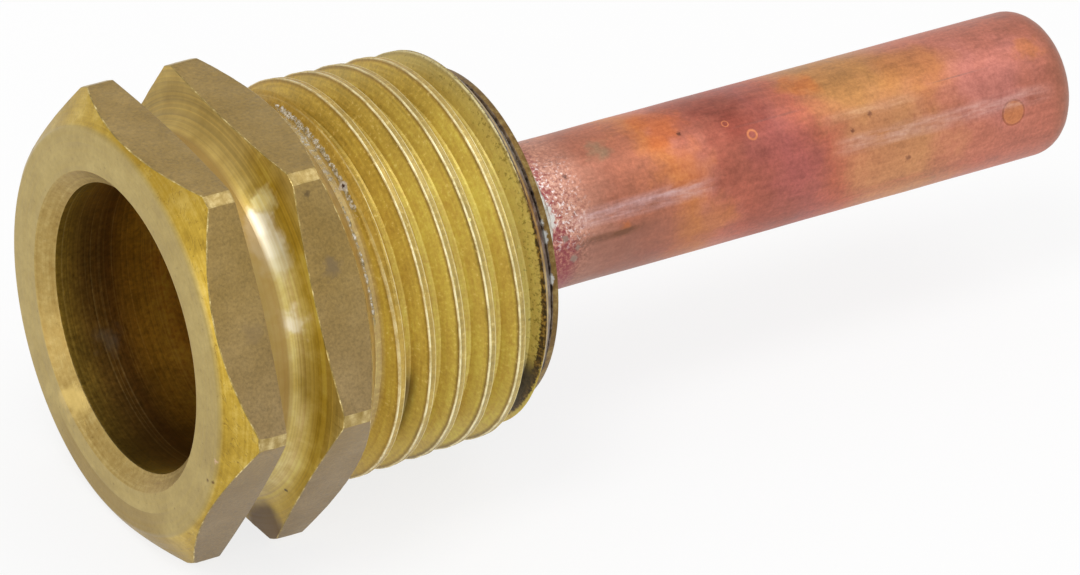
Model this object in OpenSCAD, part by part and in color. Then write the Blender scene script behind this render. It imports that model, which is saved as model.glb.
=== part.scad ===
// Thermowell: a turned brass spud with a grooved hexagonal head and a taper pipe thread, closed by
// a brazed disc that carries a closed copper tube. A sensor goes in at the mouth of the head.
// The axis lies along X, with the head towards -X, the closed tip towards +X and one flat of the
// hexagon facing +Z. The origin is on the axis, where the head ends and the thread begins.

/* [Hexagonal head] */
// Width across the flats
hex_af = 22; // [21.6:0.1:24]
// Diameter that the six corners are turned down to
corner_d = 25; // [24:0.1:25.4]
// Length of the head at its flats
head_len = 8.8; // [8:0.1:14]
// Diameter of the flat ring on the front face
front_face_d = 21.3; // [19:0.1:21.6]
// Slope of the front chamfer, from the face
front_chamfer = 36.5; // [15:0.5:45]
// Slope of the cone behind the head, from the face
rear_chamfer = 34; // [15:0.5:40]

/* [Groove around the head] */
// Thickness of the flange in front of the groove, at the flats
front_flange_t = 3.1; // [2:0.1:3.6]
// Width of the groove at the flats
groove_w = 2.9; // [2.4:0.1:3.6]
// Depth of the groove under the flats
groove_depth = 1.6; // [1.2:0.1:1.6]
// Radius of the hollow that rises from the floor to the rear flange
groove_ramp_r = 2.05; // [2:0.05:2.3]
// Lean of the groove's two walls, which open outwards
groove_lean = 8; // [4:0.5:10]

/* [Socket] */
// Diameter of the socket
socket_d = 15.3; // [14:0.1:15.6]
// Diameter of the countersink at the mouth
mouth_d = 16.9; // [16.2:0.1:18]
// Depth of the countersink
mouth_depth = 1; // [0.4:0.1:1.6]
// Step on the radius to the seat at the far end, which holds the disc's spigot
seat_step = 0.35; // [0.2:0.05:0.5]

/* [Pipe thread] */
// Length of the threaded end, from the origin to its end face
thread_len = 11.55; // [9:0.05:16]
// Distance from one turn to the next
thread_pitch = 1.8143; // [1.5:0.0001:2.1]
// Diameter over the crests at the small end
thread_end_d = 20.45; // [20.2:0.05:20.9]
// Growth of the diameter for each unit of length
thread_taper = 0.0625; // [0.04:0.0025:0.07]
// Depth of the thread
thread_depth = 1.1; // [0.8:0.05:1.2]
// Width of the flat crests
crest_w = 0.3; // [0.2:0.05:0.4]
// Angle between the two flanks
thread_angle = 55; // [50:1:60]
// Angle round the axis, from +Z towards -Y, at which the first crest stands one turn off the origin
thread_clock = 46; // [-180:1:180]
// Diameter of the end face, inside its chamfer
end_face_d = 18.6; // [18:0.1:19.4]
// Slope of the end chamfer, from the axis
end_chamfer = 45; // [30:1:50]

/* [End disc] */
// Diameter of the disc
disc_d = 18.2; // [17:0.1:18.6]
// Thickness of the disc's rim
disc_t = 0.5; // [0.4:0.05:1.5]
// Length of the spigot that centres the disc in its seat
spigot_len = 1; // [0.6:0.1:2]
// Rounding of the disc's outer edge
disc_edge_r = 0.15; // [0.05:0.01:0.2]

/* [Copper tube] */
// Outside diameter of the tube
tube_d = 8; // [7:0.1:9]
// Wall of the tube
tube_wall = 0.5; // [0.4:0.05:0.9]
// Length of the tube beyond the disc
tube_reach = 36.3; // [25:0.1:120]
// Thickness of the closed tip
tip_t = 0.8; // [0.5:0.1:2]
// Outside radius of the tip's edge
tip_r = 1.6; // [1:0.1:2.5]

/* [Brazed joints] */
// Thickness of the braze between the spud and the disc
braze_t = 0.15; // [0.08:0.01:0.25]
// How far that braze stays inside the disc's edge
braze_inset = 0.15; // [0.1:0.01:0.3]
// Radius of the fillet between the disc and the tube
fillet_r = 2.6; // [1:0.1:3]
// Clearance in a brazed fit, on the radius
fit_gap = 0.03; // [0.02:0.01:0.08]

/* [Hidden] */

$fn = 96;
cut = 1;                                    // how far a cutter runs past what it cuts
flat_r = hex_af / 2;                        // radius of the flats
corner_r = corner_d / 2;
front_x = -head_len;                        // front face of the head
socket_r = socket_d / 2;
seat_r = socket_r + seat_step;

floor_r = flat_r - groove_depth;            // floor of the groove
wall_front_x = front_x + front_flange_t;    // front wall of the groove, at the flats
wall_rear_x = wall_front_x + groove_w;      // rear wall of the groove, at the flats
ramp_c = [flat_r + groove_ramp_r * sin(groove_lean), wall_rear_x - groove_ramp_r * cos(groove_lean)];
ramp_foot_x = ramp_c.y + sqrt(pow(groove_ramp_r, 2) - pow(ramp_c.x - floor_r, 2));

crest_end_r = thread_end_d / 2;
flank = tan(thread_angle / 2);              // half the growth of the groove's width with its depth
crest_gap = (thread_pitch - crest_w) / 2;   // half the width of the thread's groove at the crests
root_gap = crest_gap - thread_depth * flank;
neck_r = crest_r(0) - thread_depth;         // plain neck between the head and the thread
neck_x = (flat_r - neck_r) * tan(rear_chamfer);
clear_r = 0.12;                             // how far the thread's cutter stands out of the crests
clear_gap = crest_gap + clear_r * flank;
ring_step = 7.5;                            // angle between two sections of the thread's cutter
fade_turn = 120;                            // angle over which the thread reaches its full depth
turn_0 = thread_clock - 150;                // where the thread begins
turn_1 = thread_clock + 360 * (thread_len + clear_gap + crest_gap) / thread_pitch;
rings = ceil((turn_1 - turn_0) / ring_step);
section = [[-root_gap, 0], [root_gap, 0], [clear_gap, thread_depth + clear_r], [-clear_gap, thread_depth + clear_r]];
corners = len(section);

disc_r = disc_d / 2;
disc_x = thread_len + braze_t;              // inner face of the disc
disc_back_x = disc_x + disc_t;
spigot_r = seat_r - fit_gap;
spigot_x = disc_x - spigot_len;

tube_r = tube_d / 2;
tube_in_r = tube_r - tube_wall;
tip_x = disc_back_x + tube_reach;
tip_in_r = max(tip_r - tube_wall, fit_gap); // inside radius of the tip's edge
braze_r = disc_r - braze_inset;

// Radius over the crests at a place on the axis
function crest_r(x) = crest_end_r + (thread_len - x) * thread_taper / 2;
// Place of the thread's groove at an angle round the axis, counted on over the turns
function groove_x(turn) = thread_pitch * (turn - thread_clock + 180) / 360;
// Share of the full depth that the thread has reached at that angle
function depth_share(turn) = min(1, (turn - turn_0) / fade_turn);
// Radius of the thread's root at that angle
function root_r(turn) = crest_r(groove_x(turn)) - thread_depth * depth_share(turn) + clear_r * (1 - depth_share(turn));
// One corner of the thread's cutter
function cutter_point(turn, p) = [
    groove_x(turn) + p.x,
    -(root_r(turn) + p.y) * sin(turn),
    (root_r(turn) + p.y) * cos(turn)
];

// Stands what is turned about Z along X
module along_x() {
    rotate([0, 90, 0]) children();
}

// Turns a half section, drawn as [radius, place on the axis], about X
module turned() {
    along_x() rotate_extrude() children();
}

module groove_section() {
    out_r = corner_r + cut;
    lean = tan(groove_lean);
    polygon([
        [floor_r, wall_front_x + (flat_r - floor_r) * lean],
        [out_r, wall_front_x - (out_r - flat_r) * lean],
        [out_r, wall_rear_x + (out_r - flat_r) * lean],
        [flat_r, wall_rear_x],
        ramp_c,
        [floor_r, ramp_foot_x]
    ]);
    intersection() {
        translate(ramp_c) circle(groove_ramp_r);
        translate([floor_r, ramp_c.y]) square(2 * groove_ramp_r);
    }
}

module head_section() {
    difference() {
        polygon([
            [0, front_x],
            [front_face_d / 2, front_x],
            [corner_r, front_x + (corner_r - front_face_d / 2) * tan(front_chamfer)],
            [corner_r, -(corner_r - flat_r) * tan(rear_chamfer)],
            [neck_r, neck_x],
            [0, neck_x]
        ]);
        groove_section();
    }
}

module head() {
    intersection() {
        translate([front_x - cut, 0, 0]) along_x() rotate([0, 0, 30])
            cylinder(r = flat_r / cos(30), h = head_len + flat_r, $fn = 6);
        turned() head_section();
    }
}

module threaded_end() {
    chamfer_x = thread_len - (crest_end_r - end_face_d / 2) / tan(end_chamfer);
    first_x = neck_x + (crest_r(neck_x) - neck_r) * flank;
    turned() polygon([
        [0, 0],
        [neck_r, 0],
        [neck_r, neck_x],
        [crest_r(first_x), first_x],
        [crest_r(chamfer_x), chamfer_x],
        [end_face_d / 2, thread_len],
        [0, thread_len]
    ]);
}

module socket() {
    turned() polygon([
        [0, front_x - cut],
        [mouth_d / 2 + cut * (mouth_d - socket_d) / 2 / mouth_depth, front_x - cut],
        [socket_r, front_x + mouth_depth],
        [socket_r, spigot_x],
        [seat_r, spigot_x],
        [seat_r, thread_len + cut],
        [0, thread_len + cut]
    ]);
}

// Right-hand helix with the section of the thread's groove
module thread_cutter() {
    points = [for (i = [0:rings], p = section) cutter_point(turn_0 + i * ring_step, p)];
    sides = [for (i = [0:rings - 1], j = [0:corners - 1])
        let (a = i * corners + j, b = i * corners + (j + 1) % corners)
        each [[a, b + corners, b], [a, a + corners, b + corners]]];
    last = rings * corners;
    polyhedron(points, concat(sides, [[0, 1, 2], [0, 2, 3]],
        [[last + 2, last + 1, last], [last + 3, last + 2, last]]));
}

module hex_spud() {
    color("#b5a042") difference() {
        difference() {
            union() {
                head();
                threaded_end();
            }
            socket();
        }
        thread_cutter();
    }
}

module end_disc() {
    color("#a08c50") turned() difference() {
        union() {
            translate([0, disc_x]) square([disc_r - disc_edge_r, disc_t]);
            translate([0, disc_x]) square([disc_r, disc_t - disc_edge_r]);
            translate([disc_r - disc_edge_r, disc_back_x - disc_edge_r]) circle(disc_edge_r);
            translate([0, spigot_x]) square([spigot_r, spigot_len]);
        }
        translate([0, spigot_x - cut]) square([tube_r, spigot_len + disc_t + 2 * cut]);
    }
}

// Half section of a closed round-edged rod from one place on the axis to another
module tip_section(r, from_x, to_x, edge_r) {
    translate([0, from_x]) square([r, to_x - from_x - edge_r]);
    translate([0, from_x]) square([r - edge_r, to_x - from_x]);
    intersection() {
        translate([r - edge_r, to_x - edge_r]) circle(edge_r);
        translate([0, from_x]) square([r, to_x - from_x]);
    }
}

module well_tube() {
    color("#c4806a") turned() difference() {
        tip_section(tube_r, spigot_x, tip_x, tip_r);
        tip_section(tube_in_r, spigot_x - cut, tip_x - tip_t, tip_in_r);
    }
}

module disc_braze() {
    color("#a8a49a") turned() translate([spigot_r, thread_len]) square([braze_r - spigot_r, braze_t]);
}

module tube_braze() {
    color("#d8d4c8") turned() translate([tube_r, disc_back_x]) difference() {
        square(fillet_r);
        translate([fillet_r, fillet_r]) circle(fillet_r);
    }
}

hex_spud();
end_disc();
well_tube();
disc_braze();
tube_braze();
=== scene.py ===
import math

import bmesh
import bpy
from mathutils import Matrix, Vector, noise


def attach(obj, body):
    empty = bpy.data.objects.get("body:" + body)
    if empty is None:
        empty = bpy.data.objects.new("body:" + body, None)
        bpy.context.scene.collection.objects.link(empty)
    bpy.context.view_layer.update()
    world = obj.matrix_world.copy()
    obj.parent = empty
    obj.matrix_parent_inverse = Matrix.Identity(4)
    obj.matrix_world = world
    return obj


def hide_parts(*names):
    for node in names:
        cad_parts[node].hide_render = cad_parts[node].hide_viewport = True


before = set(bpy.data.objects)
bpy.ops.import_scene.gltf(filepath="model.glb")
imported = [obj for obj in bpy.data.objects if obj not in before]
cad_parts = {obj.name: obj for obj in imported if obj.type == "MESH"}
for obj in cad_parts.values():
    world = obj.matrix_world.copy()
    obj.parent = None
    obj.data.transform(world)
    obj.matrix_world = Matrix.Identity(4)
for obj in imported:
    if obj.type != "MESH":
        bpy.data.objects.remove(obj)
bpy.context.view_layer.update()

MM = 0.001
TURN = 2 * math.pi

# Sizes in millimetres, along the axis (x) and out from it (r), as the part's source has them.
FLAT_R = 11.0
CORNER_R = 12.5
FRONT_X = -8.8
FACE_R = 10.65
FRONT_SLOPE = math.tan(math.radians(36.5))
REAR_SLOPE = math.tan(math.radians(34))
WALL_LEAN = math.tan(math.radians(8))
WALL_FRONT_X = -5.7
WALL_REAR_X = -2.8
FLOOR_R = 9.4
RAMP_R = 2.05
RAMP_C = (WALL_REAR_X - RAMP_R * math.cos(math.radians(8)), FLAT_R + RAMP_R * math.sin(math.radians(8)))
PITCH = 1.8143
CREST_X = PITCH * (1 - 46 / 360)
THREAD_X = 11.55
END_R = 10.225
END_FACE_R = 9.3
TAPER = 1 / 32
DEPTH = 1.1
FLANK = math.tan(math.radians(27.5))
NECK_R = END_R + THREAD_X * TAPER - DEPTH
NECK_X = (FLAT_R - NECK_R) * REAR_SLOPE
SOCKET_R = 7.65
SEAT_R = 8.0
SEAT_X = 10.7
SPIGOT_R = 7.97
DISC_X = (11.7, 12.2)
DISC_R = 9.1
BRAZE_R = 8.95
TUBE_R = 4.0
TUBE_IN_R = 3.5
TIP_X = 48.5
TIP_EDGE = 1.6
TIP_WALL = 0.8
TIP_IN_EDGE = 1.1


def crest_r(x):
    """Radius over the thread's crests at a place on the axis."""
    return END_R + (THREAD_X - x) * TAPER


# ---------------------------------------------------------------- meshes

# How many columns go round the turned solids.
SPUD_COLUMNS = 360
DISC_COLUMNS = 240
TUBE_COLUMNS = 180


def rounded(path):
    """Points of a section from its corners.

    Each corner is (x, r, rounding, steps, finish up to it, finish of its rounding).
    """
    points = []
    for i, (x, r, radius, steps, finish, *turn) in enumerate(path):
        if radius == 0:
            points.append((x, r, finish))
            continue
        here = Vector((x, r))
        to_last = (Vector(path[i - 1][:2]) - here).normalized()
        to_next = (Vector(path[i + 1][:2]) - here).normalized()
        half = to_last.angle(to_next) / 2
        reach = radius / math.tan(half)
        centre = here + (to_last + to_next).normalized() * radius / math.sin(half)
        start, end = here + to_last * reach - centre, here + to_next * reach - centre
        for k in range(steps + 1):
            arm = start.lerp(end, k / steps).normalized() * radius + centre
            points.append((arm.x, arm.y, turn[0] if turn and k else finish))
    return points


def ring_grid(rows, columns):
    """A closed tube of quads about X: row i stands at x = i, column j at its share of a turn."""
    bm = bmesh.new()
    line = [bm.verts.new((i, 0, 1)) for i in range(rows)]
    edges = [bm.edges.new(pair) for pair in zip(line, line[1:])]
    bmesh.ops.spin(bm, geom=line + edges, cent=(0, 0, 0), axis=(1, 0, 0), angle=TURN, steps=columns,
                   use_merge=True, use_duplicate=False)
    return bm


def column(co, columns):
    return round(math.atan2(-co.y, co.z) / TURN * columns) % columns


def place(bm, at, columns, finish_of=None):
    """Moves each point of a ring grid to at(row, column) = (x, r, angle), in millimetres."""
    if finish_of:
        for face in bm.faces:
            centre = face.calc_center_median()
            face.material_index = finish_of(math.floor(centre.x), math.atan2(-centre.y, centre.z))
    for v in bm.verts:
        x, r, angle = at(round(v.co.x), column(v.co, columns))
        v.co = Vector((x, -r * math.sin(angle), r * math.cos(angle))) * MM


def closed(bm):
    bmesh.ops.remove_doubles(bm, verts=bm.verts, dist=1e-8)
    bmesh.ops.dissolve_degenerate(bm, dist=1e-8, edges=bm.edges)
    bmesh.ops.recalc_face_normals(bm, faces=bm.faces)
    return bm


def turned(section, columns, wobble=None):
    """A closed turned solid: its section of (x, r, finish) points ends on the axis, or is a loop."""
    bm = ring_grid(len(section), columns)

    def at(i, j):
        x, r, _ = section[i]
        angle = TURN * j / columns
        return wobble(x, r, angle) if wobble else (x, r, angle)

    place(bm, at, columns, lambda i, _: section[i + 1][2])
    return closed(bm)


def as_object(bm, name, finishes):
    mesh = bpy.data.meshes.new(name)
    bm.to_mesh(mesh)
    bm.free()
    for finish in finishes:
        mesh.materials.append(finish)
    made = bpy.data.objects.new(name, mesh)
    bpy.context.scene.collection.objects.link(made)
    return made


def combine(body, tool, operation):
    """Applies one solid to another and removes the tool."""
    step = body.modifiers.new("combine", "BOOLEAN")
    step.operation, step.solver, step.object = operation, "MANIFOLD", tool
    shaped = bpy.data.meshes.new_from_object(body.evaluated_get(bpy.context.evaluated_depsgraph_get()))
    body.modifiers.clear()
    body.data = shaped
    bpy.data.objects.remove(tool)


def cleared(thing):
    """Merges the slivers that combining leaves where surfaces meet."""
    bm = bmesh.new()
    bm.from_mesh(thing.data)
    bmesh.ops.remove_doubles(bm, verts=bm.verts, dist=1e-7)
    bmesh.ops.dissolve_degenerate(bm, dist=1e-7, edges=bm.edges)
    bm.to_mesh(thing.data)
    bm.free()


def shade(thing, sharp_angle):
    thing.data.shade_smooth()
    thing.data.set_sharp_from_angle(angle=math.radians(sharp_angle))


# ---------------------------------------------------------------- finishes

def colour(hex_code):
    """An sRGB hex colour as linear values."""
    parts = [int(hex_code[i:i + 2], 16) / 255 for i in (1, 3, 5)]
    return [c / 12.92 if c <= 0.04045 else ((c + 0.055) / 1.055) ** 2.4 for c in parts] + [1]


class Finish:
    """A finish in the making: its nodes, and where a point is on the part in millimetres and turns."""

    def __init__(self, name, metallic=1.0):
        self.material = bpy.data.materials.new(name)
        self.material.use_nodes = True
        self.tree = self.material.node_tree
        self.shader = self.tree.nodes["Principled BSDF"]
        self.shader.inputs["Metallic"].default_value = metallic
        self.mm = self.add(
            "VectorMath", self.add("TexCoord").node.outputs["Object"], 1000.0, operation="SCALE",
        )
        self.x = self.add("SeparateXYZ", self.mm)
        y, z = self.x.node.outputs[1:3]
        across = self.add("VectorMath", self.mm, (0, 1, 1), operation="MULTIPLY")
        self.out = self.add("VectorMath", across, operation="LENGTH")
        self.side = self.add("Math", y, self.out, operation="DIVIDE")
        self.up = self.add("Math", z, self.out, operation="DIVIDE")
        angle = self.add("Math", self.add("Math", y, -1.0, operation="MULTIPLY"), z, operation="ARCTAN2")
        self.turn = self.add("Math", angle, TURN, operation="DIVIDE")

    def add(self, kind, *values, stops=(), **named):
        """Adds a node and gives its first output; values fill inputs in order, capitalised names too."""
        made = self.tree.nodes.new("ShaderNode" + kind)
        for name, value in named.items():
            if name.islower():
                setattr(made, name, value)
        inputs = list(zip([s for s in made.inputs if s.enabled], values))
        for socket, value in inputs + [(made.inputs[n], v) for n, v in named.items() if not n.islower()]:
            if isinstance(value, bpy.types.NodeSocket):
                self.tree.links.new(value, socket)
            else:
                socket.default_value = value
        for k, (share, hex_code) in enumerate(stops):
            stop = made.color_ramp.elements[k] if k < 2 else made.color_ramp.elements.new(share)
            stop.position, stop.color = share, colour(hex_code)
        return next(s for s in made.outputs if s.enabled)

    def done(self, base, gloss, height, depth):
        """Joins the patterns to the shader, with the relief's depth in millimetres."""
        bump = self.add("Bump", Height=height, Distance=depth * MM)
        for name, pattern in (("Base Color", base), ("Roughness", gloss), ("Normal", bump)):
            self.tree.links.new(pattern, self.shader.inputs[name])
        return self.material

    def turning(self, fine, coarse):
        """Marks of a lathe tool: quick changes along the axis and out from it, slow ones round it."""
        place_at = self.add("VectorMath", self.mm, (fine, coarse, coarse), operation="MULTIPLY")
        depth = self.add("Math", self.out, fine, operation="MULTIPLY")
        return self.add("TexNoise", place_at, Scale=1.0, Detail=3.0, W=depth, noise_dimensions="4D")

    def near(self, value, middle, reach, soft):
        """1 where a value is within reach of the middle, falling to 0 over a soft edge."""
        away = self.add("Math", self.add("Math", value, middle, operation="SUBTRACT"), operation="ABSOLUTE")
        return self.add("MapRange", away, reach, reach + soft, 1.0, 0.0, interpolation_type="SMOOTHSTEP")

    def mark(self, base, x, angle, r, radius, soft, hex_code, strength=1.0):
        """Lays a round mark over a base colour, at a place along the axis, round it and out from it."""
        angle = math.radians(angle)
        away = self.add(
            "VectorMath", self.mm, (x, -r * math.sin(angle), r * math.cos(angle)), operation="DISTANCE",
        )
        ragged = self.add(
            "MapRange", self.add("TexNoise", self.mm, Scale=1.5 / (radius + soft)), 0.0, 1.0, -soft, soft,
        )
        away = self.add("Math", away, ragged, operation="ADD")
        mask = self.add(
            "MapRange", away, radius, radius + soft, strength, 0.0, interpolation_type="SMOOTHSTEP",
        )
        return self.add("Mix", mask, base, colour(hex_code), data_type="RGBA")


def drawn_brass_skin():
    """Hexagon bar as the drawing die left it: dull tan brown, sandy, with faint streaks along it."""
    f = Finish("drawn_brass_skin", 0.6)
    cloud = f.add("TexNoise", f.mm, Scale=0.35, Detail=6.0, Roughness=0.65)
    upper = f.add("ValToRGB", cloud, stops=[(0.3, "#8d733c"), (0.5, "#977d46"), (0.7, "#a18751")])
    lower = f.add("ValToRGB", cloud, stops=[(0.3, "#897454"), (0.5, "#927d5c"), (0.7, "#9b8665")])
    base = f.add("Mix", f.add("MapRange", f.up, -0.5, 0.6, 0.0, 1.0), lower, upper, data_type="RGBA")
    grain = f.add("TexNoise", f.mm, Scale=6.5, Detail=3.0, Roughness=0.6)
    base = f.add("Mix", 0.5, base, grain, data_type="RGBA", blend_type="OVERLAY")
    drawn = f.add("VectorMath", f.mm, (0.35, 5, 5), operation="MULTIPLY")
    base = f.add(
        "Mix", 0.08, base, f.add("TexNoise", drawn, Scale=1.0, Detail=4.0), data_type="RGBA",
        blend_type="OVERLAY",
    )
    # A rub on the rear flat and two faint stains.
    base = f.mark(base, -1.46, 52.5, 11.1, 0.15, 0.55, "#7d6a4c", 0.75)
    base = f.mark(base, -6.6, 64, 11.05, 0.2, 0.7, "#8c7650", 0.5)
    base = f.mark(base, -1.9, 34, 12.2, 0.05, 0.25, "#5e4c30", 0.8)
    gloss = f.add("MapRange", grain, 0.3, 0.7, 0.42, 0.56)
    return f.done(base, gloss, grain, 0.025)


def faced_brass():
    """Front of the spud: a pale, dull turned face, a yellower scratched bevel and a mottled countersink."""
    f = Finish("faced_brass", 0.75)
    rings = f.turning(7.0, 0.1)
    cloud = f.add("TexNoise", f.mm, Scale=0.5, Detail=7.0, Roughness=0.7)
    specks = f.add("TexNoise", f.mm, Scale=3.5, Detail=5.0, Roughness=0.75)
    share = f.add("Mix", 0.3, cloud, rings, data_type="FLOAT")
    face = f.add("ValToRGB", share, stops=[(0.32, "#a28b50"), (0.5, "#b09959"), (0.68, "#bea868")])
    bevel = f.add("ValToRGB", share, stops=[(0.34, "#9c7c24"), (0.5, "#bd9c38"), (0.66, "#dabe64")])
    coarse = f.add("TexNoise", f.mm, Scale=2.4, Detail=6.0, Roughness=0.7)
    sink = f.add(
        "ValToRGB", f.add("Mix", 0.45, coarse, rings, data_type="FLOAT"),
        stops=[(0.34, "#9a7c3e"), (0.5, "#ae9354"), (0.66, "#c2aa6c")],
    )
    # The bevel is painted yellow on one side, a painted highlight, and left dull like the face on the other.
    yellow = f.add("MapRange", f.side, 0.85, 0.35, 0.2, 1.0, interpolation_type="SMOOTHSTEP")
    yellow = f.add("Math", yellow, f.add("MapRange", f.up, -1.0, -0.75, 0.6, 1.0), operation="MULTIPLY")
    past = f.add(
        "MapRange", f.x, FRONT_X + 0.02, FRONT_X + 0.22, 0.0, yellow, interpolation_type="SMOOTHSTEP",
    )
    outer = f.add("Math", f.out, 9.5, operation="GREATER_THAN")
    base = f.add("Mix", f.add("Math", past, outer, operation="MULTIPLY"), face, bevel, data_type="RGBA")
    # It is deeper in colour at the top and browner underneath.
    deep = f.add("Math", f.near(f.turn, 0.035, 0.03, 0.03), past, operation="MULTIPLY")
    base = f.add(
        "Mix", f.add("Math", deep, 0.5, operation="MULTIPLY"), base, colour("#a07c1a"), data_type="RGBA",
    )
    under = f.add("Math", f.add("MapRange", f.up, -0.78, -0.92, 0.0, 0.7), outer, operation="MULTIPLY")
    base = f.add("Mix", under, base, colour("#947a40"), data_type="RGBA")
    inner = f.add("MapRange", f.out, SOCKET_R + 0.84, SOCKET_R + 0.76, 0.0, 1.0)
    base = f.add("Mix", inner, base, sink, data_type="RGBA")
    base = f.add("Mix", 0.2, base, specks, data_type="RGBA", blend_type="OVERLAY")
    # Dark pinholes, then fine wandering scratches on the side of the bevel painted yellow.
    holes = f.add("MapRange", specks, 0.3, 0.36, 0.7, 0.0)
    base = f.add("Mix", holes, base, colour("#7a6232"), data_type="RGBA")
    slant = f.add("VectorRotate", f.mm, Axis=(1, 0, 0), Angle=0.6)
    slant = f.add("VectorMath", slant, (1.6, 3.2, 0.35), operation="MULTIPLY")
    wander = f.add("TexNoise", slant, Scale=1.0, Detail=2.0, Distortion=0.3)
    scratch = f.add("Math", f.near(wander, 0.5, 0.004, 0.016), past, operation="MULTIPLY")
    scratch = f.add("Math", scratch, f.add("MapRange", coarse, 0.45, 0.6, 0.0, 1.0), operation="MULTIPLY")
    base = f.add(
        "Mix", f.add("Math", scratch, 0.6, operation="MULTIPLY"), base, colour("#86681e"), data_type="RGBA",
    )
    base = f.mark(base, -8.8, 107.8, 10.32, 0.02, 0.12, "#6a4f2a", 0.9)
    base = f.mark(base, -8.75, 106.5, 10.72, 0.03, 0.12, "#6a4f2a", 0.9)
    base = f.mark(base, -8.8, 98.9, 10.65, 0.03, 0.16, "#d9b49a", 0.7)
    # A painted highlight: a bright gold glint in the countersink.
    base = f.mark(base, -8.4, -147, 8.1, 0.2, 1.0, "#e6c878", 0.6)
    gloss = f.add("MapRange", rings, 0.3, 0.7, 0.34, 0.48)
    height = f.add(
        "Math", f.add("Mix", 0.35, rings, specks, data_type="FLOAT"), scratch, operation="SUBTRACT",
    )
    return f.done(base, gloss, height, 0.015)


def turned_brass(name, stops, patch, fine, depth, metallic=1.0):
    """Brass as the tool left it, in close rings round the axis, over a cloudy tarnish."""
    f = Finish(name, metallic)
    rings = f.turning(fine, 0.1)
    cloud = f.add("TexNoise", f.mm, Scale=patch, Detail=7.0, Roughness=0.7)
    base = f.add("ValToRGB", f.add("Mix", 0.4, cloud, rings, data_type="FLOAT"), stops=stops)
    gloss = f.add("MapRange", rings, 0.3, 0.7, 0.34, 0.5)
    return f.done(base, gloss, rings, depth)


def burnished_brass_hollow():
    """The hollow of the groove, burnished by its tool: shiny with rub lines and painted highlights at the
    side, dull on top.
    """
    f = Finish("burnished_brass_hollow", 0.55)
    rings = f.turning(9.0, 0.05)
    cloud = f.add("TexNoise", f.mm, Scale=0.5, Detail=6.0, Roughness=0.65)
    clean = f.add("ValToRGB", cloud, stops=[(0.3, "#b89c48"), (0.5, "#ccb266"), (0.7, "#e0cc8a")])
    olive = f.add("ValToRGB", cloud, stops=[(0.3, "#ae8c24"), (0.5, "#c4a236"), (0.7, "#dabc56")])
    tan = f.add("ValToRGB", cloud, stops=[(0.3, "#ac904a"), (0.7, "#c8ac62")])
    base = f.add(
        "Mix", f.add("MapRange", f.out, FLOOR_R + 0.3, FLAT_R - 0.4, 0.0, 1.0), clean, olive,
        data_type="RGBA",
    )
    dull = f.add("MapRange", f.turn, 0.02, 0.07, 1.0, 0.0, interpolation_type="SMOOTHSTEP")
    high = f.add("MapRange", f.out, FLAT_R, CORNER_R - 0.3, 0.0, 0.8)
    base = f.add("Mix", f.add("Math", dull, high, operation="MAXIMUM"), base, tan, data_type="RGBA")
    # Painted highlights: pale patches painted where the lamps' reflections fall in the hollow.
    for x, angle, r, radius, soft, tint, strength in (
        (-3.05, 28.5, 10.3, 0.2, 0.7, "#fcf0b0", 0.65), (-3.25, 27.5, 10.0, 0.3, 0.4, "#fff0a8", 0.9),
        (-3.8, 33, 9.5, 0.5, 0.5, "#fff8e0", 0.8), (-3.7, 39, 9.6, 0.6, 0.6, "#fff8e0", 0.7),
        (-3.6, 45, 9.65, 0.4, 0.8, "#f4ecc8", 0.6),
        (-3.6, 65, 9.65, 0.1, 0.9, "#fff4d4", 0.65),
    ):
        base = f.mark(base, x, angle, r, radius, soft, tint, strength)
    base = f.add("Mix", 0.6, base, rings, data_type="RGBA", blend_type="OVERLAY")
    base = f.add(
        "Mix", f.add("MapRange", f.out, FLOOR_R + 0.01, FLOOR_R + 0.12, 0.75, 0.0), base, colour("#a88748"),
        data_type="RGBA",
    )
    # Then a pit, and a large dark brown patch low down underneath.
    base = f.mark(base, -3.0, 129.9, 10.36, 0.04, 0.12, "#4e3a1a", 0.9)
    base = f.mark(base, -2.7, 152, 11.8, 0.8, 2.4, "#5e3e02", 0.9)
    streaks = f.add("MapRange", rings, 0.3, 0.7, 0.28, 0.46)
    gloss = f.add("Math", streaks, f.add("Math", dull, 0.25, operation="MULTIPLY"), operation="ADD")
    return f.done(base, gloss, rings, 0.006)


def burred_brass_edge():
    """A corner where the tool broke out: raw beads of metal between duller gaps, their bright colour partly a
    painted highlight.
    """
    f = Finish("burred_brass_edge", 0.8)
    beads = f.add("TexNoise", f.mm, Scale=1.6, Detail=5.0, Roughness=0.7)
    base = f.add("ValToRGB", beads, stops=[(0.42, "#8f7a44"), (0.54, "#b49c5e"), (0.64, "#ecd898")])
    gloss = f.add("MapRange", beads, 0.3, 0.7, 0.5, 0.3)
    return f.done(base, gloss, beads, 0.03)


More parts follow.
